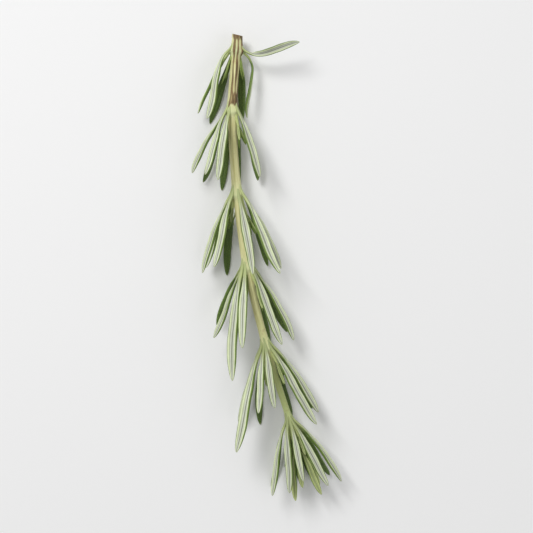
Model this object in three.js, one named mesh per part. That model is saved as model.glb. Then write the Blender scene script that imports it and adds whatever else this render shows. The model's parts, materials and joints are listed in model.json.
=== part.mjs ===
// A cut sprig of rosemary lying on a surface, in millimetres, +Z up.
// The woody stem runs from its cut end at +Y to the growing tip at -Y. Leaves stand round it in
// whorls, all pointing towards the tip. Each leaf is a solid of its own, 0.3 mm clear of the stem.
// The origin is on the surface, below the middle of the sprig.

import * as THREE from 'three';

// The stem's centreline, from the cut end to the tip bud, with its radius there.
const STEM = [
  { name: 'cut_end', at: [-9.0, 72.0, 5.2], radius: 1.45 },
  { name: 'whorl_1', at: [-9.3, 67.0, 5.5], radius: 1.45 },
  { name: 'whorl_2', at: [-10.6, 47.3, 6.7], radius: 1.4 },
  { name: 'whorl_3', at: [-9.0, 20.5, 7.9], radius: 1.3 },
  { name: 'whorl_4', at: [-5.8, -3.0, 8.3], radius: 1.25 },
  { name: 'whorl_5', at: [0.4, -28.4, 8.0], radius: 1.15 },
  { name: 'whorl_6', at: [8.0, -52.7, 7.0], radius: 0.95 },
  { name: 'tip_whorl', at: [10.0, -60.5, 6.5], radius: 0.7 },
  { name: 'bud', at: [10.6, -63.2, 6.3], radius: 0.3 },
];
const STEM_SIDES = 12;
const STEM_STEPS = 9;          // rings between two points of the centreline
const NODE_SWELL = 0.4;        // how far a whorl's node stands out from the stem
const NODE_HALF_LENGTH = 1.9;  // from a node's middle to where its swelling has mostly gone

// The leaves of each whorl: [degrees round the stem, degrees off the stem, length]. Round the stem
// 0 is +X, 90 is straight up and 270 is down at the surface. A fourth value takes the place of
// BASE_SPREAD on that leaf.
const LEAVES = {
  whorl_1: [
    [150, 14, 24, 32], [190, 23, 22], [22, 97, 19, -44], [350, 6, 21, 60], [290, 18, 23],
    [236, 22, 24],
  ],
  whorl_2: [
    [146, 21, 23], [174, 28, 22], [205, 21, 24], [116, 20, 24], [44, 22, 24],
    [12, 20, 21], [332, 17, 23], [290, 15, 25], [247, 18, 26],
  ],
  whorl_3: [
    [158, 26, 27], [189, 26, 24], [132, 28, 26], [76, 12, 26], [40, 26, 30],
    [4, 21, 26], [324, 18, 25], [282, 15, 24], [236, 20, 27],
  ],
  whorl_4: [
    [140, 18, 36], [167, 34, 23], [197, 34, 20], [111, 25, 26], [52, 16, 27],
    [14, 18, 26], [332, 17, 24], [282, 15, 27], [237, 26, 25],
  ],
  whorl_5: [
    [152, 33, 34], [126, 33, 21], [97, 22, 20], [45, 20, 28], [8, 18, 26],
    [328, 18, 24], [280, 16, 26], [232, 24, 26], [188, 32, 25],
  ],
  whorl_6: [
    [124, 24, 22], [88, 12, 18], [160, 28, 23], [50, 18, 22], [12, 22, 24],
    [334, 18, 21], [290, 17, 22], [254, 25, 22], [204, 29, 23],
  ],
  tip_whorl: [
    [90, 10, 13], [140, 18, 16], [180, 12, 14], [222, 20, 16],
    [270, 12, 12], [315, 20, 15], [0, 12, 14], [45, 18, 16],
  ],
};

const GAP = 0.3;               // between the stem and a leaf's base
const LEAF_WIDTH = 1.1;         // of a leaf of no length,
const WIDTH_PER_LENGTH = 0.065; // and what each millimetre of length adds
const LEAF_THICKNESS = 0.95;
const BASE_SPREAD = 7;         // degrees more off the stem at a leaf's base than on the whole
const BASE_STAGGER = 0.9;      // every other leaf starts this far along the stem
const BEND = 10;               // degrees that a leaf's end turns in or out, at most
const SWAY = 1.3;              // how far a leaf's tip strays sideways, at most
const FACE_TURN = 0.6;         // how far a leaf turns flat to the surface: 0 not at all, 1 fully
const TURN_SPREAD = 0.2;       // how much more or less some leaves turn
const YOUNG_LENGTH = 17;       // a shorter leaf is young and paler
const FLOOR_EASE = 1.5;        // a low leaf starts to bend this far above the surface

// A leaf's outline: [along the leaf, share of its width, share of its thickness], base to tip.
const OUTLINE = [
  [0.0, 0.3, 0.6], [0.05, 0.36, 0.68], [0.14, 0.58, 0.85], [0.28, 0.84, 1], [0.45, 0.98, 1],
  [0.62, 1, 1], [0.78, 0.92, 0.96], [0.9, 0.7, 0.85], [0.975, 0.38, 0.6],
];
// A leaf's section: [across, up] with its crowned upper face first and its underside last, each
// from -1 to 1 of the half width and half thickness.
const SECTION = [
  [1, 0], [0.7, 0.66], [0, 0.92], [-0.7, 0.66], [-1, 0], [-0.66, -0.74], [0, -0.5], [0.66, -0.74],
];

const UP = new THREE.Vector3(0, 0, 1);
const radians = THREE.MathUtils.degToRad;
const smooth = (share) => THREE.MathUtils.smoothstep(share, 0, 1);

const stemMaterial = new THREE.MeshStandardMaterial({ color: 0xbfb382, roughness: 0.75, metalness: 0 });
const leafMaterial = new THREE.MeshStandardMaterial({ color: 0x6f8148, roughness: 0.55, metalness: 0 });
const youngMaterial = new THREE.MeshStandardMaterial({ color: 0x94a562, roughness: 0.55, metalness: 0 });

const points = STEM.map(({ at }) => new THREE.Vector3(...at));
const centreline = new THREE.CatmullRomCurve3(points, false, 'centripetal');
const stationOf = (index) => index / (STEM.length - 1);

// Directions at a place on the stem: along to the tip, out to the right, and up.
function stemFrame(station) {
  const along = centreline.getTangent(station);
  const right = new THREE.Vector3().crossVectors(UP, along).normalize();
  const up = new THREE.Vector3().crossVectors(along, right).normalize();
  return { along, right, up };
}

function stemRadius(station, place) {
  const index = Math.min(Math.floor(station * (STEM.length - 1)), STEM.length - 2);
  const share = station * (STEM.length - 1) - index;
  const plain = THREE.MathUtils.lerp(STEM[index].radius, STEM[index + 1].radius, share);
  let swell = 0;
  for (const { name, at } of STEM) {
    if (!name.startsWith('whorl')) continue;
    const distance = place.distanceTo(new THREE.Vector3(...at));
    swell += NODE_SWELL * Math.exp(-((distance / NODE_HALF_LENGTH) ** 2));
  }
  return plain + swell;
}

// One closed solid through rings of points, with a point at each end. Rings run anticlockwise
// seen from the last ring.
function solidThroughRings(rings, first, last) {
  const sides = rings[0].length;
  const corners = [...rings.flat(), first, last];
  const faces = [];
  const corner = (ring, side) => ring * sides + (side % sides);
  const start = rings.length * sides;
  const end = start + 1;
  for (let side = 0; side < sides; side += 1) {
    faces.push(start, corner(0, side + 1), corner(0, side));
    for (let ring = 0; ring < rings.length - 1; ring += 1) {
      const [a, b] = [corner(ring, side), corner(ring, side + 1)];
      const [c, d] = [corner(ring + 1, side), corner(ring + 1, side + 1)];
      faces.push(a, b, d, a, d, c);
    }
    faces.push(end, corner(rings.length - 1, side), corner(rings.length - 1, side + 1));
  }
  const geometry = new THREE.BufferGeometry().setFromPoints(corners);
  geometry.setIndex(faces);
  geometry.computeVertexNormals();
  return geometry;
}

function mainStem() {
  const rings = [];
  const steps = (STEM.length - 1) * STEM_STEPS;
  for (let step = 0; step <= steps; step += 1) {
    const station = step / steps;
    const place = centreline.getPoint(station);
    const { right, up } = stemFrame(station);
    const radius = stemRadius(station, place);
    rings.push(Array.from({ length: STEM_SIDES }, (_, side) => {
      const turn = (2 * Math.PI * side) / STEM_SIDES;
      return place.clone()
        .addScaledVector(right, radius * Math.cos(turn))
        .addScaledVector(up, radius * Math.sin(turn));
    }));
  }
  const bud = points.at(-1).clone().addScaledVector(centreline.getTangent(1), STEM.at(-1).radius);
  return solidThroughRings(rings, points[0].clone(), bud);
}

// The centreline of a leaf: out of the stem at its base, then over towards the tip.
function leafCurve(index, order, [round, off, length, spread = BASE_SPREAD]) {
  const stagger = (order % 2) * BASE_STAGGER;
  const { along, right, up } = stemFrame(stationOf(index));
  const out = right.clone().multiplyScalar(Math.cos(radians(round)))
    .addScaledVector(up, Math.sin(radians(round)));
  const node = points[index].clone().addScaledVector(along, stagger);
  const clear = stemRadius(stationOf(index), node) + GAP + LEAF_THICKNESS / 2;
  const base = node.clone().addScaledVector(out, clear);
  const heading = (angle) => along.clone().multiplyScalar(Math.cos(radians(angle)))
    .addScaledVector(out, Math.sin(radians(angle)));
  const bend = BEND * Math.sin(2.4 * order + 1.3 * index);
  const sway = SWAY * Math.sin(1.9 * order + 2.1 * index);
  const sideways = new THREE.Vector3().crossVectors(along, out);
  const tip = base.clone().addScaledVector(heading(off), length).addScaledVector(sideways, sway);
  const early = base.clone().addScaledVector(heading(off + spread), length / 3);
  const late = tip.clone().addScaledVector(heading(off + bend), -length / 3);
  return { curve: new THREE.CubicBezierCurve3(base, early, late, tip), out };
}

// Where each ring of a leaf lies: its middle, the way it faces away from the stem, and its width
// direction. Leaves above the stem turn their backs up, and those below turn theirs down.
function ringFrames(places, out, faceTurn) {
  const flat = UP.clone().multiplyScalar(out.z < -0.2 ? -1 : 1);
  return places.map((place, i) => {
    const ahead = places[Math.min(i + 1, places.length - 1)].clone()
      .sub(places[Math.max(i - 1, 0)]).normalize();
    const turn = faceTurn * smooth(i / (places.length - 1));
    const back = out.clone().lerp(flat, turn);
    back.addScaledVector(ahead, -back.dot(ahead)).normalize();
    return { place, back, across: new THREE.Vector3().crossVectors(ahead, back) };
  });
}

// A height that runs out smoothly to 0 where it would be below the surface.
function easedHeight(above) {
  if (above >= FLOOR_EASE) return above;
  return above <= -FLOOR_EASE ? 0 : (above + FLOOR_EASE) ** 2 / (4 * FLOOR_EASE);
}

// Raises the places that would be under the surface, so that a low leaf bends along it.
function restOnSurface(frames, width) {
  return frames.map(({ place, back, across }, i) => {
    const [, widthShare, thicknessShare] = OUTLINE[Math.min(i, OUTLINE.length - 1)];
    const reach = (width / 2) * widthShare * Math.abs(across.z)
      + (LEAF_THICKNESS / 2) * thicknessShare * Math.abs(back.z);
    return new THREE.Vector3(place.x, place.y, reach + easedHeight(place.z - reach));
  });
}

function leaf(index, order, spec) {
  const { curve, out } = leafCurve(index, order, spec);
  const width = LEAF_WIDTH + WIDTH_PER_LENGTH * spec[2];
  const faceTurn = FACE_TURN + TURN_SPREAD * Math.sin(3.1 * order + 1.7 * index);
  let places = [...OUTLINE.map(([along]) => along), 1].map((along) => curve.getPoint(along));
  places = restOnSurface(ringFrames(places, out, faceTurn), width);
  const frames = ringFrames(places, out, faceTurn);
  const rings = OUTLINE.map(([, widthShare, thicknessShare], i) => {
    const { place, back, across } = frames[i];
    return SECTION.map(([sideways, upward]) => place.clone()
      .addScaledVector(across, (sideways * widthShare * width) / 2)
      .addScaledVector(back, (-upward * thicknessShare * LEAF_THICKNESS) / 2));
  });
  return solidThroughRings(rings, places[0].clone(), places.at(-1));
}

const sprig = new THREE.Group();

function add(name, geometry, material) {
  const mesh = new THREE.Mesh(geometry, material);
  mesh.name = name;
  sprig.add(mesh);
}

add('main_stem', mainStem(), stemMaterial);
STEM.forEach(({ name }, index) => {
  (LEAVES[name] ?? []).forEach((spec, order) => {
    const material = spec[2] < YOUNG_LENGTH ? youngMaterial : leafMaterial;
    add(`${name}_leaf_${order + 1}`, leaf(index, order, spec), material);
  });
});

// The origin goes below the middle of the sprig, on the surface.
const box = new THREE.Box3().setFromObject(sprig);
const middle = box.getCenter(new THREE.Vector3());
sprig.position.set(-middle.x, -middle.y, -box.min.z);

export default sprig;
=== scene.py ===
"""A cut sprig of rosemary on a pale floor, in metres.

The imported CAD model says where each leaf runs, how wide it is and where its crown faces. The
finished leaf is grown along that line, with rolled edges, a felted underside, a midrib and a stalk
that joins the stem. The stem gets leaf cushions, fibres, torn bark and a cut end, and small young
shoots stand in the leaf axils.
"""

import json
import math
import random

import bpy
import numpy as np
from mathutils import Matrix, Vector


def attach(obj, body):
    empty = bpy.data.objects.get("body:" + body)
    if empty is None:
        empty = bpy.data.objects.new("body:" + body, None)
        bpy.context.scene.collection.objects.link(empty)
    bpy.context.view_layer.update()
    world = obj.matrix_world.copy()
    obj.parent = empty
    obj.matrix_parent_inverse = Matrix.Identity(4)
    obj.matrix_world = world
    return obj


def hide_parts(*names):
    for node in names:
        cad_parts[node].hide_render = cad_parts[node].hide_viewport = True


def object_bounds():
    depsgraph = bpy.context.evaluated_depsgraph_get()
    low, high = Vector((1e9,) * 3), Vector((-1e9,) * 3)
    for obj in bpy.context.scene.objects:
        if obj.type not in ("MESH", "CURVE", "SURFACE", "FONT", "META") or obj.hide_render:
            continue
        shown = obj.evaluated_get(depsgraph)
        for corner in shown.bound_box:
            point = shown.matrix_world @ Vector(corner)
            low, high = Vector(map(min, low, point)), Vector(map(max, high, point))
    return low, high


MM = 0.001
UP = np.array([0.0, 0.0, 1.0])

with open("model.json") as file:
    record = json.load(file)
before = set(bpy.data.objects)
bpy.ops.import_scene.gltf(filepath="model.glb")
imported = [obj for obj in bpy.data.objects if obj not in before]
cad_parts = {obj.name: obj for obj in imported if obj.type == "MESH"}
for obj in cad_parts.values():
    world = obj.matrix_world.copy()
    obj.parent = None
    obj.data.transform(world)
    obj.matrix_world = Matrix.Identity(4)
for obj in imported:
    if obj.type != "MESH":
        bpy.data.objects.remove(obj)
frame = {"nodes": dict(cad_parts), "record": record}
cad_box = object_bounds()


# ---------------------------------------------------------------- small maths


def unit(rows):
    return rows / np.linalg.norm(rows, axis=-1, keepdims=True)


def smooth(share):
    share = np.clip(share, 0, 1)
    return share * share * (3 - 2 * share)


def apart(a, b):
    """The angle between two directions round the stem."""
    return np.abs((a - b + math.pi) % (2 * math.pi) - math.pi)


def before_and_after(ahead, before, after):
    """A swelling that grows slowly before a place and falls off quickly after it."""
    return np.where(ahead < 0, np.exp(ahead / before), np.exp(-((ahead / after) ** 2)))


def above_floor(places):
    """The same places, with none of them below the floor."""
    return np.concatenate([places[..., :2], np.maximum(places[..., 2:], 0)], axis=-1)


def length_of(places):
    return np.linalg.norm(np.diff(places, axis=0), axis=1).sum()


def through(rows, at):
    """A smooth curve through rows, whose first three columns are places, at shares of its length."""
    rows = np.asarray(rows, float)
    steps = np.linalg.norm(np.diff(rows[:, :3], axis=0), axis=1)
    knots = np.concatenate([[0], np.cumsum(steps)]) / steps.sum()
    slopes = np.gradient(rows, knots, axis=0)
    i = np.clip(np.searchsorted(knots, at, side="right") - 1, 0, len(knots) - 2)
    span = (knots[i + 1] - knots[i])[:, None]
    t = (at - knots[i])[:, None] / span
    start = (1 + 2 * t) * (1 - t) ** 2 * rows[i] + t * (1 - t) ** 2 * span * slopes[i]
    end = t * t * (3 - 2 * t) * rows[i + 1] + t * t * (t - 1) * span * slopes[i + 1]
    return start + end


# ---------------------------------------------------------------- reading the CAD solids


def rings_of(node, distance):
    """The rings of corners of a CAD solid that was swept between two end points, from the end
    where distance is less. The end points themselves are the first and the last ring."""
    mesh = frame["nodes"][node].data
    places = np.array([v.co for v in mesh.vertices])
    corners, corner_of = np.unique(np.round(places, 7), axis=0, return_inverse=True)
    around = [set() for _ in corners]
    faces_at = np.zeros(len(corners), int)
    for face in mesh.polygons:
        used = [int(corner_of[v]) for v in face.vertices]
        for corner in used:
            around[corner].update(used)
            faces_at[corner] += 1
    end_points = np.argsort(faces_at)[-2:]
    first = int(min(end_points, key=lambda end: distance(corners[end])))
    levels, seen = [[first]], {first}
    while levels[-1]:
        reached = set().union(*(around[c] for c in levels[-1])) - seen
        seen |= reached
        levels.append(sorted(reached))
    return [corners[level] for level in levels[:-1]]


stem_rings = rings_of("main_stem", lambda place: -place[1])
stem_line = np.array([
    [*ring.mean(0), np.linalg.norm(ring - ring.mean(0), axis=1).mean()] for ring in stem_rings[1:-1]
])
STEM_LENGTH = length_of(stem_line[:, :3])


def from_stem(place):
    return np.linalg.norm(stem_line[:, :3] - place, axis=1).min()


def leaf_line(node):
    """Rows of [place, way the crown faces, half width] from a CAD leaf's base to its tip."""
    rings = rings_of(node, from_stem)
    rows = []
    for ring in rings[1:-1]:
        spans = np.linalg.norm(ring[:, None] - ring[None], axis=2)
        a, b = np.unravel_index(spans.argmax(), spans.shape)
        middle = (ring[a] + ring[b]) / 2
        side = (ring[a] - ring[b]) / spans[a, b]
        rise = ring - middle
        central = np.argsort(np.abs(rise @ side))[:2]
        crown = central[np.argmax(np.linalg.norm(rise[central], axis=1))]
        rows.append([*middle, *unit(rise[crown]), spans[a, b] / 2])
    rows.append([*rings[-1][0], *rows[-1][3:6], 0.0])
    return np.array(rows)


def stem_place(share):
    return through(stem_line, np.array([share]))[0, :3]


def stem_frames(share):
    """Along, out to +X and up, at shares of the stem's length from its cut end."""
    share = np.atleast_1d(share)
    step = 0.002
    ahead = through(stem_line, np.clip(share + step, 0, 1))[:, :3]
    along = unit(ahead - through(stem_line, np.clip(share - step, 0, 1))[:, :3])
    right = unit(np.cross(UP, along))
    return along, right, np.cross(along, right)


def nearest_share(place):
    shares = np.linspace(0, 1, 2000)
    return shares[np.argmin(np.linalg.norm(through(stem_line, shares)[:, :3] - place, axis=1))]


def degrees_round(place, share):
    """Which way round the stem a place lies: 0 is +X and 90 is up."""
    _, right, up = (rows[0] for rows in stem_frames(share))
    out = place - stem_place(share)
    return math.degrees(math.atan2(out @ up, out @ right)) % 360


def leaf_bases():
    """Each whorl's leaves, as [(share of the stem's length, degrees round it)]."""
    found = {}
    for node in sorted(leaf_lines):
        base = leaf_lines[node][0, :3]
        share = nearest_share(base)
        found.setdefault(node.split("_leaf_")[0], []).append((share, degrees_round(base, share)))
    return found


def plain_radius(share):
    """The stem's radius without the swelling of its nodes."""
    return np.interp(share, plain_shares, plain_radii)


def slimness(whorl):
    """How thick the stem is at a whorl, as a share of its thickness at the cut end."""
    return plain_radius(nodes_at[whorl]) / plain_radii[0]


leaf_lines = {node: leaf_line(node) for node in frame["nodes"] if node != "main_stem"}
bases = leaf_bases()
nodes_at = {whorl: float(np.mean([share for share, _ in at])) for whorl, at in bases.items()}
whorls = sorted(nodes_at, key=nodes_at.get)
between = (np.array([nodes_at[w] for w in whorls[:-1]]) + [nodes_at[w] for w in whorls[1:]]) / 2
plain_shares = np.array([0, *between, 1])
plain_radii = through(stem_line, plain_shares)[:, 3]


# ---------------------------------------------------------------- making meshes


def skin_over(rings, first, last):
    """Corners and faces over rings of places, closed by a point at each end. An end whose point is
    None stays open."""
    count, sides = rings.shape[:2]
    corners = rings.reshape(-1, 3)
    ring, side = np.meshgrid(np.arange(count - 1), np.arange(sides), indexing="ij")
    a, b = ring * sides + side, ring * sides + (side + 1) % sides
    faces = np.stack([a, b, b + sides, a + sides], axis=-1).reshape(-1, 4).tolist()
    edges = [(side, (side + 1) % sides) for side in range(sides)]
    if first is not None:
        corners = np.append(corners, [first], axis=0)
        faces += [[len(corners) - 1, j, i] for i, j in edges]
    if last is not None:
        corners = np.append(corners, [last], axis=0)
        top = (count - 1) * sides
        faces += [[len(corners) - 1, top + i, top + j] for i, j in edges]
    return corners, faces


def add_field(mesh, key, values):
    values = np.asarray(values, np.float32)
    if values.ndim == 1:
        mesh.attributes.new(key, "FLOAT", "POINT").data.foreach_set("value", values)
    else:
        mesh.attributes.new(key, "FLOAT_VECTOR", "POINT").data.foreach_set("vector", values.ravel())


def make_piece(name, parts, materials, body="root"):
    """One object from [(corners, faces, {attribute: values}, material index)]. A part without an
    attribute that another part has holds 0 there."""
    corners = np.concatenate([part[0] for part in parts])
    starts = np.cumsum([0] + [len(part[0]) for part in parts])
    faces, slots, fields = [], [], {}
    for start, (_, part_faces, values, slot) in zip(starts, parts):
        faces += [[corner + start for corner in face] for face in part_faces]
        slots += [slot] * len(part_faces)
        for key, value in values.items():
            whole = fields.setdefault(key, np.zeros((len(corners), *value.shape[1:])))
            whole[start:start + len(value)] = value
    mesh = bpy.data.meshes.new(name)
    mesh.from_pydata(corners.tolist(), [], faces)
    for key, values in fields.items():
        add_field(mesh, key, values)
    for material in materials:
        mesh.materials.append(material)
    mesh.polygons.foreach_set("material_index", slots)
    mesh.polygons.foreach_set("use_smooth", [True] * len(faces))
    mesh.update()
    piece = bpy.data.objects.new(name, mesh)
    bpy.context.scene.collection.objects.link(piece)
    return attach(piece, body)


# ---------------------------------------------------------------- the shape of a leaf

# Half of a blade's section, from the furrow of its upper face round the rolled edge to the midrib
# on its underside: [across, up], in half widths.
BLADE = np.array([
    [0.00, 0.27], [0.06, 0.31], [0.16, 0.38], [0.34, 0.42], [0.54, 0.40], [0.72, 0.33],
    [0.86, 0.22], [0.96, 0.07], [1.00, -0.08], [0.985, -0.19], [0.92, -0.29], [0.80, -0.36],
    [0.66, -0.38], [0.53, -0.32], [0.44, -0.20], [0.37, -0.08], [0.24, -0.03], [0.10, -0.07],
    [0.00, -0.17],
])
TIP_POWER = 0.62     # 0.5 is a round tip, and 1 a sharp one
TIP_CROWDING = 1.35  # above 1, a leaf's rings stand closer together towards its tip
STALK_UP = 0.75      # a leaf stalk's half height, in its half widths
STALK_WIDTH = 0.42   # a leaf stalk's width, in the blade's
ROOT_WIDTH = 0.3     # its width where it rises out of the stem, in its width further on
ROLL = (0.88, 1.12)  # how far a blade's edges roll under: a chance value between these
PHASES = (0, 6.28)   # where along a wave a leaf may start

# How far a blade's edges and its face wave, in half widths, and how fast along the blade.
EDGE_WAVE, EDGE_RIPPLE, FACE_WAVE = (0.035, 9), (0.015, 31), (0.05, 14)


def stalk_section():
    turn = np.linspace(0, math.pi, len(BLADE))
    return np.stack([np.sin(turn), STALK_UP * np.cos(turn)], axis=1)


def whole_section(half):
    """Both sides of a section, anticlockwise seen from the tip, with each point's zone from 0 at
    the upper furrow to 1 at the midrib below."""
    zone = np.linspace(0, 1, len(half))
    left = half[1:-1][::-1] * [-1, 1]
    return np.concatenate([half, left]), np.concatenate([zone, zone[1:-1][::-1]])


def blade_width(share):
    """A blade's width along it: narrow at the stalk, widest past its middle, bluntly pointed."""
    grow = STALK_WIDTH + (1 - STALK_WIDTH) * smooth(share / 0.4)
    shrink = 1 - np.clip((share - 0.5) / 0.5, 0, 1) ** 3
    return grow * shrink ** TIP_POWER


def flatness(share):
    """From 0 for the stalk's round section to 1 for the blade's, and back just before the tip."""
    return smooth((share - 0.01) / 0.2) * (1 - smooth((share - 0.93) / 0.07))


def wave(kind, share, phase):
    size, pace = kind
    return size * np.sin(pace * share + phase)


def grow_leaf(line, base_share, steps, seed):
    """Corners, faces and fields of a leaf along rows of [place, crown, half width]. Its blade
    starts at base_share of the line, and what comes before that is its stalk."""
    chance = random.Random(seed)
    slow, quick = chance.uniform(*PHASES), chance.uniform(*PHASES)
    roll, tone = chance.uniform(*ROLL), chance.random()
    way = 1 - (1 - np.linspace(0, 1, steps + 1)) ** TIP_CROWDING
    rows = through(line, way)
    places = rows[:, :3]
    along = unit(np.gradient(places, way, axis=0))
    crown = rows[:, 3:6]
    crown = unit(crown - along * (crown * along).sum(1, keepdims=True))
    across = np.cross(along, crown)
    blade = np.clip((way - base_share) / (1 - base_share), 0, 1)
    flat = flatness(blade)
    widest = line[:, 6].max()
    rooted = ROOT_WIDTH + (1 - ROOT_WIDTH) * smooth(way / base_share)
    half = widest * blade_width(blade) * rooted
    half = half * (1 + wave(EDGE_WAVE, blade, slow) + wave(EDGE_RIPPLE, blade, quick))
    stalk, _ = whole_section(stalk_section())
    shape, zone = whole_section(BLADE)
    shape = shape * np.where(shape[:, 1:] < 0, [1, roll], [1, 1])
    section = stalk[None] + (shape - stalk)[None] * flat[:, None, None]
    sway = widest * wave(FACE_WAVE, blade, quick) * flat
    rings = (
        places[:, None]
        + across[:, None] * section[..., :1] * half[:, None, None]
        + crown[:, None] * (section[..., 1:] * half[:, None, None] + sway[:, None, None])
    )[:-1]
    corners, faces = skin_over(above_floor(rings), places[0], above_floor(places[-1]))
    fields = {
        "zone": np.concatenate([np.tile(zone, len(rings)), [0.5, 0.5]]),
        "along": np.concatenate([np.repeat(blade[:-1], len(zone)), [0, 1]]),
        "tone": np.full(len(corners), tone),
    }
    return corners, faces, fields


# ---------------------------------------------------------------- materials

# How fine the patterns are, in repeats per metre.
PEBBLES, CLOUDS, FELT_FIBRES = 2600, 260, 5200
STEM_FIBRES, BLOTCHES, WOOD_GRAIN = 2100, 420, 3200


def colour(red, green, blue):
    """A colour given as screen values from 0 to 255."""
    def linear(value):
        value /= 255
        return value / 12.92 if value <= 0.04045 else ((value + 0.055) / 1.055) ** 2.4
    return (linear(red), linear(green), linear(blue), 1)


def grey(value):
    return (value, value, value, 1)


class Shader:
    """A material's node tree, with one call per node."""

    def __init__(self, name):
        self.material = bpy.data.materials.new(name)
        self.material.use_nodes = True
        self.tree = self.material.node_tree
        self.surface = self.tree.nodes["Principled BSDF"]

    def set(self, node, inputs):
        for key, value in inputs.items():
            socket = node.inputs[key]
            if isinstance(value, bpy.types.NodeSocket):
                self.tree.links.new(value, socket)
            else:
                socket.default_value = value

    def node(self, kind, settings=(), **inputs):
        node = self.tree.nodes.new("ShaderNode" + kind)
        for key, value in dict(settings).items():
            setattr(node, key, value)
        self.set(node, inputs)
        return node

    def field(self, name, output="Fac"):
        return self.node("Attribute", {"attribute_name": name}).outputs[output]

    def place(self):
        return self.node("TexCoord").outputs["Object"]

    def noise(self, scale, detail=3.0, rough=0.55, vector=None):
        made = self.node("TexNoise", Vector=vector or self.place(), Scale=scale, Detail=detail)
        made.inputs["Roughness"].default_value = rough
        return made.outputs["Fac"]

    def maths(self, operation, *values):
        made = self.node("Math", {"operation": operation})
        self.set(made, dict(enumerate(values)))
        return made.outputs[0]

    def mapped(self, value, low, high, to_low, to_high):
        made = self.node("MapRange", Value=value)
        limits = {"From Min": low, "From Max": high, "To Min": to_low, "To Max": to_high}
        self.set(made, limits)
        return made.outputs["Result"]

    def ramp(self, value, stops):
        made = self.node("ValToRGB", Fac=value)
        ramp = made.color_ramp
        while len(ramp.elements) < len(stops):
            ramp.elements.new(1.0)
        for element, (position, shade) in zip(ramp.elements, stops):
            element.position = position
            element.color = shade
        return made.outputs["Color"]

    def mix(self, share, first, second, blend="MIX"):
        made = self.node("Mix", {"data_type": "RGBA", "blend_type": blend})
        self.set(made, {0: share, 6: first, 7: second})
        return made.outputs[2]

    def bump(self, height, distance, strength):
        made = self.node("Bump", Height=height, Distance=distance, Strength=strength)
        return made.outputs["Normal"]


LEAF_COLOURS = {
    "upper": colour(72, 96, 36),
    "upper_light": colour(98, 122, 50),
    "edge": colour(104, 128, 50),
    "rolled": colour(217, 226, 186),
    # The darker lip colour is painted shade in the furrow where the rolled edge meets the felt.
    "painted_furrow_shade": colour(188, 197, 160),
    "felt": colour(205, 208, 195),
    "midrib": colour(126, 133, 110),
    "stalk": colour(176, 187, 124),
}
YOUNG_COLOURS = {
    "upper": colour(112, 136, 58),
    "upper_light": colour(136, 158, 76),
    "edge": colour(124, 146, 66),
    "rolled": colour(204, 213, 146),
    # The darker lip colour is painted shade in the furrow where the rolled edge meets the felt.
    "painted_furrow_shade": colour(166, 180, 110),
    "felt": colour(180, 190, 138),
    "midrib": colour(142, 156, 96),
    "stalk": colour(180, 192, 118),
}


def leaf_material(name, shades):
    """Pebbled dark green above, and pale rolled edges round a grey felt with a midrib below, with
    painted shade in the furrow where each rolled edge meets the felt.
    """
    shader = Shader(name)
    zone, along, tone = (shader.field(key) for key in ("zone", "along", "tone"))
    pebbles = shader.noise(PEBBLES, detail=2.0)
    clouds = shader.noise(CLOUDS)
    zone = shader.maths("ADD", zone, shader.mapped(clouds, 0.3, 0.7, -0.012, 0.012))
    spots = shader.mapped(pebbles, 0.35, 0.65, 0, 1)
    upper = shader.mix(spots, shades["upper"], shades["upper_light"])
    # Below, the darker band between the rolled edges and the felt is painted shade in the furrow
    # there.
    under = shader.ramp(zone, [
        (0.48, shades["edge"]), (0.59, shades["edge"]), (0.63, shades["rolled"]),
        (0.72, shades["rolled"]), (0.78, shades["painted_furrow_shade"]), (0.84, shades["felt"]),
        (0.92, shades["felt"]), (0.965, shades["midrib"]),
    ])
    skin = shader.mix(shader.mapped(zone, 0.38, 0.47, 0, 1), upper, under)
    skin = shader.mix(shader.mapped(along, 0.0, 0.16, 0.85, 0), skin, shades["stalk"])
    skin = shader.mix(shader.mapped(along, 0.965, 1.0, 0, 0.5), skin, shades["stalk"])
    light = shader.mapped(clouds, 0.25, 0.75, 0.86, 1.08)
    light = shader.maths("MULTIPLY", light, shader.mapped(tone, 0, 1, 0.88, 1.12))
    light = shader.node("CombineColor", Red=light, Green=light, Blue=light).outputs["Color"]
    fibre = shader.noise(FELT_FIBRES, rough=0.7)
    felted = shader.mapped(zone, 0.68, 0.78, 0, 1)
    rough = shader.ramp(zone, [
        (0.0, grey(0.42)), (0.42, grey(0.46)), (0.55, grey(0.62)), (0.75, grey(0.9)),
    ])
    shader.set(shader.surface, {
        "Base Color": shader.mix(1.0, skin, light, blend="MULTIPLY"),
        "Roughness": shader.maths("ADD", rough, shader.mapped(pebbles, 0.3, 0.7, -0.06, 0.06)),
        "Normal": shader.bump(shader.mix(felted, pebbles, fibre), 0.05 * MM, 0.6),
        "Specular IOR Level": 0.4,
        "Sheen Weight": 0.12,
        "Sheen Roughness": 0.5,
    })
    return shader.material


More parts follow.
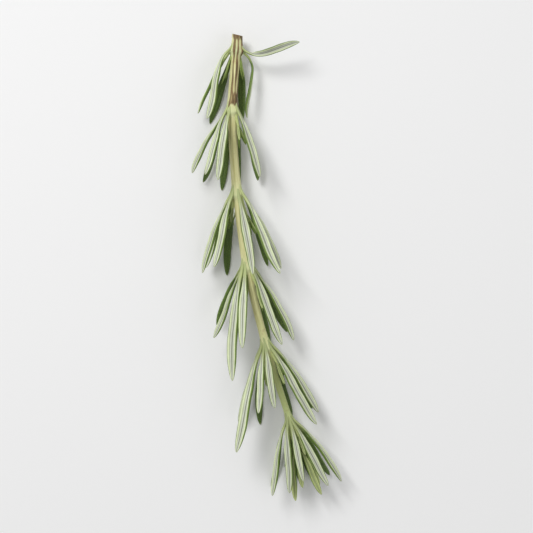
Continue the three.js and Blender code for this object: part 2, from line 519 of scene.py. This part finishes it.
def stem_material():
    """Downy tan stem, greener by the nodes and the tip, brown where bark is left."""
    shader = Shader("stem")
    node, bark, young = (shader.field(key) for key in ("node", "bark", "young"))
    grain = shader.field("grain", "Vector")
    fibres = shader.noise(STEM_FIBRES, detail=4.0, rough=0.62, vector=grain)
    blotches = shader.noise(BLOTCHES)
    streak = shader.mapped(fibres, 0.34, 0.66, 0, 1)
    plain = shader.mix(streak, colour(205, 198, 134), colour(240, 235, 180))
    plain = shader.mix(young, plain, colour(190, 204, 132))
    plain = shader.mix(shader.mapped(node, 0, 1, 0, 0.85), plain, colour(212, 219, 168))
    brown = shader.ramp(fibres, [
        (0.32, colour(66, 54, 36)), (0.44, colour(108, 90, 60)), (0.56, colour(136, 116, 78)),
        (0.70, colour(186, 170, 124)),
    ])
    brown = shader.mix(shader.mapped(blotches, 0.5, 0.66, 0, 0.5), brown, colour(112, 72, 52))
    skin = shader.mix(bark, plain, brown)
    speck = shader.mapped(blotches, 0.62, 0.72, 0, 0.35)
    shader.set(shader.surface, {
        "Base Color": shader.mix(speck, skin, colour(168, 138, 96)),
        "Roughness": shader.mapped(fibres, 0.3, 0.7, 0.62, 0.85),
        "Normal": shader.bump(fibres, 0.08 * MM, 0.7),
        "Specular IOR Level": 0.3,
        "Sheen Weight": 0.2,
        "Sheen Roughness": 0.5,
    })
    return shader.material


def cut_material():
    """The cut face: pale pith, a ring of straw-coloured wood and a thin dark rim of bark."""
    shader = Shader("cut_wood")
    grain = shader.noise(WOOD_GRAIN, detail=4.0)
    uneven = shader.mapped(grain, 0.3, 0.7, -0.05, 0.05)
    skin = shader.ramp(shader.maths("ADD", shader.field("ring"), uneven), [
        (0.0, colour(214, 212, 178)), (0.30, colour(206, 202, 160)), (0.42, colour(172, 160, 108)),
        (0.74, colour(188, 172, 118)), (0.86, colour(112, 96, 58)), (1.0, colour(84, 64, 44)),
    ])
    shader.set(shader.surface, {
        "Base Color": skin,
        "Roughness": 0.85,
        "Normal": shader.bump(grain, 0.08 * MM, 0.8),
    })
    return shader.material


leaf_skin = leaf_material("leaf", LEAF_COLOURS)
young_skin = leaf_material("young_leaf", YOUNG_COLOURS)
stem_skin = stem_material()


# ---------------------------------------------------------------- the leaves of the CAD model

LEAF_STEPS = 46
STALK_RUN = 5.5 * MM                             # how far down the stem a leaf's stalk shows
STALK_RISE = [(0, 0.7), (0.4, 1.0), (0.8, 1.4)]  # how far out it is along that, in stem radii
FIRST_ROW = 2                                    # the CAD line's first row that the leaf follows
STEM_START = 0.004                               # no stalk starts before this share of the stem
BLADE_START = 0.8                                # where on its stalk a blade starts to widen


def stalked(line, share):
    """A CAD leaf's line with its stalk before it, which runs down the stem as a ridge, and the
    share of the whole at which the blade starts."""
    start = max(share - STALK_RUN / STEM_LENGTH, STEM_START)
    rows = []
    for at, rise in STALK_RISE:
        here = start + (share - start) * at
        place = stem_place(here)
        along = stem_frames(here)[0][0]
        out = line[0, :3] - place
        out = unit(out - along * (out @ along))
        rows.append([*(place + out * plain_radius(here) * rise), *line[0, 3:]])
    joined = np.concatenate([rows, line[FIRST_ROW:]])
    stalk = length_of(joined[: len(rows) + 1, :3])
    return joined, BLADE_START * stalk / length_of(joined[:, :3])


def make_leaves():
    slot_of = {part["node"]: part["material_slot"] for part in frame["record"]["subparts"]}
    for node in sorted(leaf_lines):
        line = leaf_lines[node]
        joined, base_share = stalked(line, nearest_share(line[0, :3]))
        skin = young_skin if slot_of[node] == "young_leaf" else leaf_skin
        part = (*grow_leaf(joined, base_share, LEAF_STEPS, node), 0)
        piece = make_piece("grown_" + node, [part], [skin])
        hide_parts(node)


make_leaves()


# ---------------------------------------------------------------- the stem

STEM_SIDES, STEM_STEP = 72, 0.32 * MM
SQUARENESS = 0.03        # how far the stem's four corners stand out, in radii
FIBRE_RISE = 0.022       # how far its fibres do
GRAIN_RUN = 0.05         # how much the grain's pattern is drawn out along the stem
YOUNG_FROM, YOUNG_RUN = 0.6, 0.36  # where the stem turns green, and over how long, in its lengths
TIP_RUN, TIP_WIDTH = 1.2 * MM, 0.25  # over this length it narrows to this share at its tip
RIPPLE_RUN = 20 * MM     # how slowly its ripples drift round it

# How far each swelling rises, and how many mm it reaches before and after its place.
NODE_FLARE, NODE_REACH = 0.5 * MM, (2.2, 1.1)  # the stem widens before a node's leaves
CUSHION, CUSHION_REACH = 0.45 * MM, (2.2, 0.8)  # and more so below each leaf
RIDGE, RIDGE_REACH = 0.1 * MM, (9, 0.6)        # from where a low ridge runs back along the stem
CUSHION_TURN = 0.3                             # how far round the stem those go, in radians
NODE_GREEN = (3.5, 2.0)                        # and how many mm of stem a node's colour covers

BARK_RISE = 0.1 * MM
BARK_END = 0.93          # the share of the first internode after which the bark has peeled off
BARK_TEAR = 0.9 * MM     # how ragged that end is
BARK_AT_CUT = 2.2 * MM   # how far it goes all the way round at the cut end
BARK_STRIPS = [(108, 12), (68, 13), (22, 11), (214, 15), (297, 14)]  # degrees round, half width
BARK_JOIN = 24           # by how many degrees the strips widen where they join up
STRIP_WANDER = [(6, 4.1), (3, 1.3)]  # how many degrees they stray, over how many mm
STRIP_WIDTH = (0.3, 2.3)             # the share their width varies by, over how many mm

CUT_SLANT, SLANT_TO = 0.4 * MM, 0.8  # how far the cut slants, and towards which side, in radians
SLANT_RUN = 0.8 * MM                 # and how far down the stem that shows


def ripples(turn, run, seed, waves):
    """A smooth chance pattern round and along the stem, from about -1 to 1."""
    chance = random.Random(seed)
    total = 0
    for count in waves:
        phase, drift = chance.uniform(*PHASES), chance.uniform(-1, 1)
        total = total + np.sin(count * turn + phase + drift * run / RIPPLE_RUN) / math.sqrt(count)
    return total / 1.6


def bark_left(turn, run):
    """Where bark is left on the oldest stretch: strips that join up before a torn end."""
    torn = BARK_END * nodes_at["whorl_2"] * STEM_LENGTH
    torn = torn + BARK_TEAR * ripples(turn, 0, "torn", (2, 3, 7, 12))
    joining = smooth((run - torn + 5 * MM) / (4 * MM)) + 1.2 * smooth(1 - run / BARK_AT_CUT)
    (far, slow), (little, quick) = STRIP_WANDER
    vary, pace = STRIP_WIDTH
    bark = 0
    for i, (degrees, half) in enumerate(BARK_STRIPS):
        wander = far * np.sin(run / (slow * MM) + i) + little * np.sin(run / (quick * MM) + 2 * i)
        edge = half * (1 + vary * np.sin(run / (pace * MM) + 3 * i)) + BARK_JOIN * joining
        inside = edge - np.degrees(apart(turn, np.radians(degrees + wander)))
        bark = np.maximum(bark, smooth(inside / 8 + 0.5))
    return bark * smooth((torn - run) / (0.5 * MM) + 0.5)


def swellings(turn, run):
    """How far nodes and leaf cushions widen the stem, and a field that is 1 at a node."""
    swell, node = 0, 0
    for whorl, leaves in bases.items():
        ahead = (run - nodes_at[whorl] * STEM_LENGTH) / MM
        swell = swell + NODE_FLARE * slimness(whorl) * before_and_after(ahead, *NODE_REACH)
        node = np.maximum(node, before_and_after(ahead, *NODE_GREEN))
        for base, degrees in leaves:
            ahead = (run - base * STEM_LENGTH) / MM
            near = np.exp(-((apart(turn, math.radians(degrees)) / CUSHION_TURN) ** 2))
            cushion = CUSHION * before_and_after(ahead, *CUSHION_REACH)
            ridge = RIDGE * before_and_after(ahead, *RIDGE_REACH)
            swell = swell + slimness(whorl) * near * (cushion + ridge)
    return swell, node


def make_stem():
    """The stem's own skin, open at the cut end, and the cut face that closes it."""
    steps = int(STEM_LENGTH / STEM_STEP)
    share = np.linspace(0, 1, steps + 1)
    along, right, up = stem_frames(share)
    turn = np.linspace(0, 2 * math.pi, STEM_SIDES, endpoint=False)[None]
    run = (share * STEM_LENGTH)[:, None]
    bark = bark_left(turn, run)
    swell, node = swellings(turn, run)
    square = SQUARENESS * np.cos(4 * turn + run / (60 * MM))
    fibres = FIBRE_RISE * ripples(turn, run, "fibres", (5, 9, 13, 17, 22))
    radius = plain_radius(share)[:, None] * (1 + square + fibres) + swell + BARK_RISE * bark
    radius = radius * (TIP_WIDTH + (1 - TIP_WIDTH) * smooth((STEM_LENGTH - run) / TIP_RUN))
    slant = CUT_SLANT * np.cos(turn - SLANT_TO) * np.exp(-run / SLANT_RUN)
    outward = right[:, None] * np.cos(turn)[..., None] + up[:, None] * np.sin(turn)[..., None]
    middle = through(stem_line, share)[:, None, :3]
    rings = middle + outward * radius[..., None] + along[:, None] * slant[..., None]
    corners, faces = skin_over(rings, None, stem_rings[-1][0])
    young = smooth((run / STEM_LENGTH - YOUNG_FROM) / YOUNG_RUN)
    grain = [radius * np.cos(turn), radius * np.sin(turn), GRAIN_RUN * run]
    grain = np.stack(np.broadcast_arrays(*grain), axis=2).reshape(-1, 3)

    def field(values, at_tip):
        return np.append(np.broadcast_to(values, radius.shape), at_tip)

    fields = {
        "node": field(node, 1), "bark": field(bark, 0), "young": field(young, 1),
        "grain": np.append(grain, [[0, 0, GRAIN_RUN * STEM_LENGTH]], axis=0),
    }
    return [(corners, faces, fields, 0), cut_face(rings[0])]


def cut_face(rim):
    """The cut end: bark, wood and a slightly sunken pith, inside the stem's first ring."""
    middle = rim.mean(0)
    inward = stem_frames(0)[0][0]
    chance = random.Random("cut")
    shares = [1, 0.94, 0.86, 0.74, 0.6, 0.46, 0.34, 0.22, 0.1]     # how far out each loop is
    depths = [0, -0.04, 0.05, 0.01, 0.04, 0.03, 0.14, 0.18, 0.16]  # how deep it lies, in mm
    loops = []
    for share, depth in zip(shares, depths):
        rough = np.array([chance.uniform(-0.03, 0.03) * (share < 1) for _ in rim])
        loops.append(middle + (rim - middle) * share + inward * (depth + rough)[:, None] * MM)
    corners, faces = skin_over(np.array(loops), None, middle + inward * depths[-1] * MM)
    turned = [[face[0], *face[:0:-1]] for face in faces]  # so that they face out of the cut end
    ring = np.append(np.repeat(shares, len(rim)), 0.0)
    return corners, turned, {"ring": ring, "grain": corners - middle}, 1


stem = make_piece("grown_main_stem", make_stem(), [stem_skin, cut_material()])
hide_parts("main_stem")


# ---------------------------------------------------------------- young shoots in the axils

SPROUT_ROWS, SPROUT_STEPS = 8, 26
SPROUT_CURL = 0.06               # how far a small leaf curls back, in its lengths
SPROUT_STALK = 0.08              # the share of it that is stalk
SHOOT_ROWS, SHOOT_SIDES = 16, 14
SHOOT_RADIUS = 0.6 * MM
SHOOT_TAPER = 0.35               # how much of that it loses up to its end
SHOOT_BEND = 0.05                # how far it bends outwards, in its lengths
AXIL = 0.6 * MM                  # how far past a node its shoots stand
SIDE_SHOOTS_AT = [25, 170, 262]  # the directions round the stem that have one with a stem
CLEAR_TOP = math.radians(34)     # how far from straight up the stem stays clear of shoots
CLEAR_SIDE = math.radians(48)    # and how far from a side shoot no tuft stands
ROOMY_GAP = 42                   # the degrees between leaves from which a shoot is full size
LOW_SIZE, LOW_FROM = 0.62, -0.35  # its size where its direction's share of up is below this
LEAST_SIZE = 0.55                # its size on the thinnest stem
TUFT_LEAVES = [(0.95, 10.5, 13), (0.8, 6, 9)]            # stem radii out, degrees off it, mm long
TUFT_TURN, TUFT_LEAN, TUFT_SIDEWAYS = (-3, 3), (-1, 1.5), (-2, 2)  # chance degrees added to them
TUFT_SIZES = (0.75, 1.2)
SHOOT_LEAN, SHOOT_LENGTH = (9, 11), (6, 8)               # degrees off the stem, mm long
SHOOT_PAIRS = [(1.8, 11, 10), (0.4, 9, 9), (0.0, 4, 5)]  # mm before the end, degrees off, mm long
PAIR_SIZES = (0.8, 1.1)


def young_leaf(root, heading, back, length, seed):
    """A small leaf from root along heading, its underside towards back and curling that way."""
    width = 0.7 * MM + 0.06 * length
    t = np.linspace(0, 1, SPROUT_ROWS)[:, None]
    places = root + heading * length * t + back * length * SPROUT_CURL * t * t
    rows = np.hstack([places, np.tile(-back, (SPROUT_ROWS, 1)), np.full_like(t, width / 2)])
    return (*grow_leaf(rows, SPROUT_STALK, SPROUT_STEPS, seed), 0)


def shoot_stem(root, heading, back, length):
    """The thin stem of a side shoot, its end, and the way it points there."""
    t = np.linspace(0, 1, SHOOT_ROWS)
    bend = back * length * SHOOT_BEND * (t * t)[:, None]
    places = root + heading * length * t[:, None] + bend
    along = unit(np.gradient(places, axis=0))
    first = unit(np.cross(along, back))
    second = np.cross(along, first)
    turn = np.linspace(0, 2 * math.pi, SHOOT_SIDES, endpoint=False)
    radius = SHOOT_RADIUS * (1 - SHOOT_TAPER * t)
    round_it = first[:, None] * np.cos(turn)[:, None] + second[:, None] * np.sin(turn)[:, None]
    rings = places[:, None] + round_it * radius[:, None, None]
    corners, faces = skin_over(rings, places[0], places[-1] + along[-1] * 0.3 * MM)
    grain = np.append(rings.reshape(-1, 3) - places[0], np.zeros((2, 3)), axis=0)
    fields = {"young": np.full(len(corners), 0.8), "grain": grain}
    return (corners, faces, fields, 1), places[-1], along[-1]


def axil(share, degrees, depth):
    """A place in an axil, this many stem radii from the stem's middle, and directions there."""
    along, right, up = (rows[0] for rows in stem_frames(share))
    turn = math.radians(degrees)
    out = right * math.cos(turn) + up * math.sin(turn)
    return stem_place(share) + out * plain_radius(share) * depth, along, out


def leaning(along, out, degrees, sideways=0.0):
    """A direction this far off the stem, and this far to the side."""
    off, lean = math.radians(degrees), math.radians(sideways)
    side = np.cross(along, out)
    return unit(along * math.cos(off) + out * math.sin(off) + side * math.tan(lean))


def make_tuft(name, share, degrees, room, chance):
    """A young leaf in an axil, often with a smaller one behind it, inside the cone of leaves."""
    parts = []
    for layer, (depth, off, length) in enumerate(TUFT_LEAVES[: chance.choice([1, 2])]):
        root, along, out = axil(share, degrees + chance.uniform(*TUFT_TURN), depth)
        lean = off + chance.uniform(*TUFT_LEAN)
        heading = leaning(along, out, lean, chance.uniform(*TUFT_SIDEWAYS))
        size = length * chance.uniform(*TUFT_SIZES) * room * MM
        parts.append(young_leaf(root, heading, out, size, f"{name}_{layer}"))
    return make_piece(name, parts, [young_skin])


def make_side_shoot(name, share, degrees, room, chance):
    """A short thin stem with pairs of young leaves, of which the last closes over its bud."""
    root, along, out = axil(share, degrees, 0.9)
    heading = leaning(along, out, chance.uniform(*SHOOT_LEAN))
    reach = chance.uniform(*SHOOT_LENGTH) * room * MM
    stalk, end, ahead = shoot_stem(root, heading, out, reach)
    parts = [stalk]
    side = unit(np.cross(ahead, out))
    for pair, (before, off, length) in enumerate(SHOOT_PAIRS):
        turn = math.radians(90 * pair)
        axis = side * math.cos(turn) + out * math.sin(turn)
        for way in (-1, 1):
            back = axis * way
            size = length * chance.uniform(*PAIR_SIZES) * room * MM
            start = end - ahead * before * MM + back * 0.1 * MM
            heading = leaning(ahead, back, off)
            parts.append(young_leaf(start, heading, back, size, f"{name}_{pair}_{way}"))
    return make_piece(name, parts, [young_skin, stem_skin])


def make_shoots():
    """A tuft or a side shoot in the gaps between two leaves, except over the stem, which stays in
    sight up to the last whorl, and close beside a side shoot. The first whorl has only tufts."""
    chance = random.Random("shoots")
    shooting = whorls[:-1]
    for whorl in shooting:
        turns = sorted(degrees for _, degrees in bases[whorl])
        gaps = [(b - a) % 360 for a, b in zip(turns, turns[1:] + turns[:1])]
        middles = np.radians([start + gap / 2 for start, gap in zip(turns, gaps)])
        stemmed_at = [] if whorl == shooting[0] else SIDE_SHOOTS_AT
        stemmed = {int(apart(middles, math.radians(at)).argmin()) for at in stemmed_at}
        stem_shows = whorl != shooting[-1]
        for number, (middle, gap) in enumerate(zip(middles, gaps)):
            side_shoot = number in stemmed
            over_stem = stem_shows and apart(middle, math.pi / 2) < CLEAR_TOP
            crowded = any(apart(middle, middles[other]) < CLEAR_SIDE for other in stemmed)
            if over_stem or (crowded and not side_shoot):
                continue
            make = make_side_shoot if side_shoot else make_tuft
            room = LEAST_SIZE + (1 - LEAST_SIZE) * slimness(whorl)
            room *= LOW_SIZE if math.sin(middle) < LOW_FROM else 1
            room *= min(1, gap / ROOMY_GAP)
            place = nodes_at[whorl] + AXIL / STEM_LENGTH
            piece = make(f"{whorl}_shoot_{number + 1}", place, math.degrees(middle), room, chance)


make_shoots()


# ---------------------------------------------------------------- floor, light and camera


def make_floor():
    mesh = bpy.data.meshes.new("floor")
    size = 3.0
    corners = [(-size, -size, 0), (size, -size, 0), (size, size, 0), (-size, size, 0)]
    mesh.from_pydata(corners, [], [(0, 1, 2, 3)])
    shader = Shader("pale_floor")
    shader.set(shader.surface, {"Base Color": colour(244, 244, 244), "Roughness": 0.8})
    mesh.materials.append(shader.material)
    floor = bpy.data.objects.new("floor", mesh)
    bpy.context.scene.collection.objects.link(floor)


def make_light(name, place, size, watts):
    data = bpy.data.lights.new(name, "AREA")
    data.shape, data.size, data.energy = "SQUARE", size, watts
    light = bpy.data.objects.new(name, data)
    light.location = place
    light.rotation_euler = (-Vector(place)).to_track_quat("-Z", "Y").to_euler()
    bpy.context.scene.collection.objects.link(light)


def make_world():
    world = bpy.data.worlds.new("studio")
    world.use_nodes = True
    background = world.node_tree.nodes["Background"]
    background.inputs["Color"].default_value = (1, 1, 1, 1)
    background.inputs["Strength"].default_value = 0.4
    bpy.context.scene.world = world


FRAME_FILL = 0.88  # the share of the picture's height that the sprig takes


def make_camera():
    """A camera that looks straight down on the middle of the sprig."""
    low, high = (np.array(corner) for corner in cad_box)
    data = bpy.data.cameras.new("camera")
    data.lens, data.sensor_width = 90, 36
    camera = bpy.data.objects.new("camera", data)
    middle = (low + high) / 2
    distance = (high[1] - low[1]) / FRAME_FILL * data.lens / data.sensor_width
    camera.location = (middle[0], middle[1], middle[2] + distance)
    bpy.context.scene.collection.objects.link(camera)
    bpy.context.scene.camera = camera


make_floor()
make_light("key", (-0.35, 0.45, 0.75), 0.35, 5.2)
make_light("fill", (0.6, -0.3, 0.6), 0.7, 1.2)
make_world()
make_camera()
bpy.context.scene.view_settings.view_transform = "Standard"
